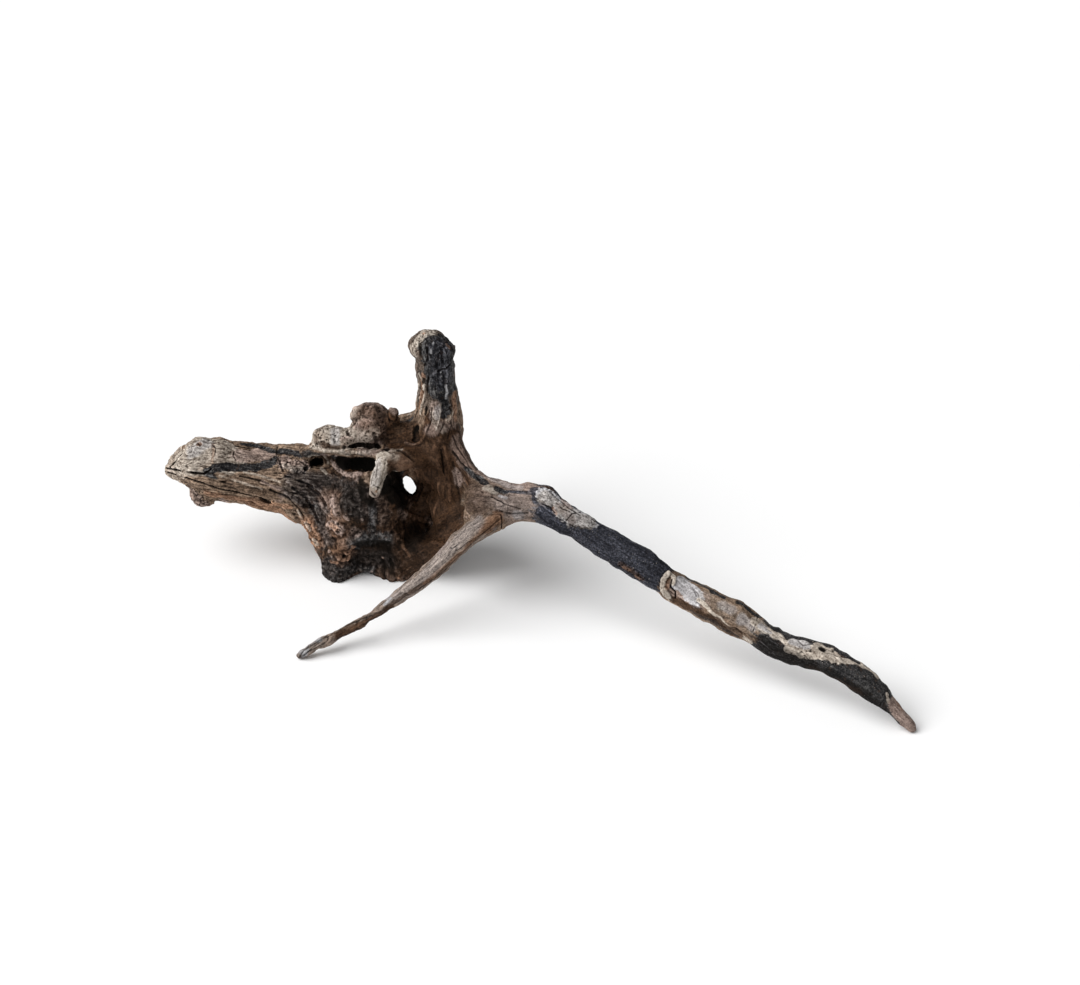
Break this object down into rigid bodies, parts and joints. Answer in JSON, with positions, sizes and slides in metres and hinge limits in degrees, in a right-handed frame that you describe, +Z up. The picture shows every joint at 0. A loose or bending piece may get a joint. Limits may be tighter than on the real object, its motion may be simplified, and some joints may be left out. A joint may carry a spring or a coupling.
{
  "type": "sinker wood",
  "caption": "Branching sinker wood: a gnarled root crown with a thick broken limb, a charred upright stub, a long thin branch, a thin leg and a hooked spur, resting on its feet.",
  "frame": {"origin": "under the middle of the wood's box, on the surface that it stands on", "axes": "+X towards the tip of the long branch, +Z up, the side in the picture at -Y"},
  "size_m": [0.502, 0.2462, 0.1796],
  "materials": {
    "crown_wood": "weathered, dark and rough, with smooth brown hollows",
    "limb_wood": "weathered grey-brown fibres with pale bark plates",
    "charred_wood": "blue-black char over brown fibres",
    "branch_wood": "black char with pale flaked patches and brown wood",
    "leg_wood": "dry grey-brown fibres",
    "spur_wood": "dry pale grey-tan fibres"
  },
  "bodies": {
    "root": {"root_crown": "crown_wood", "left_limb": "limb_wood", "upright_limb": "charred_wood", "long_branch": "branch_wood", "front_leg": "leg_wood", "hook_spur": "spur_wood"}
  },
  "joints": []
}
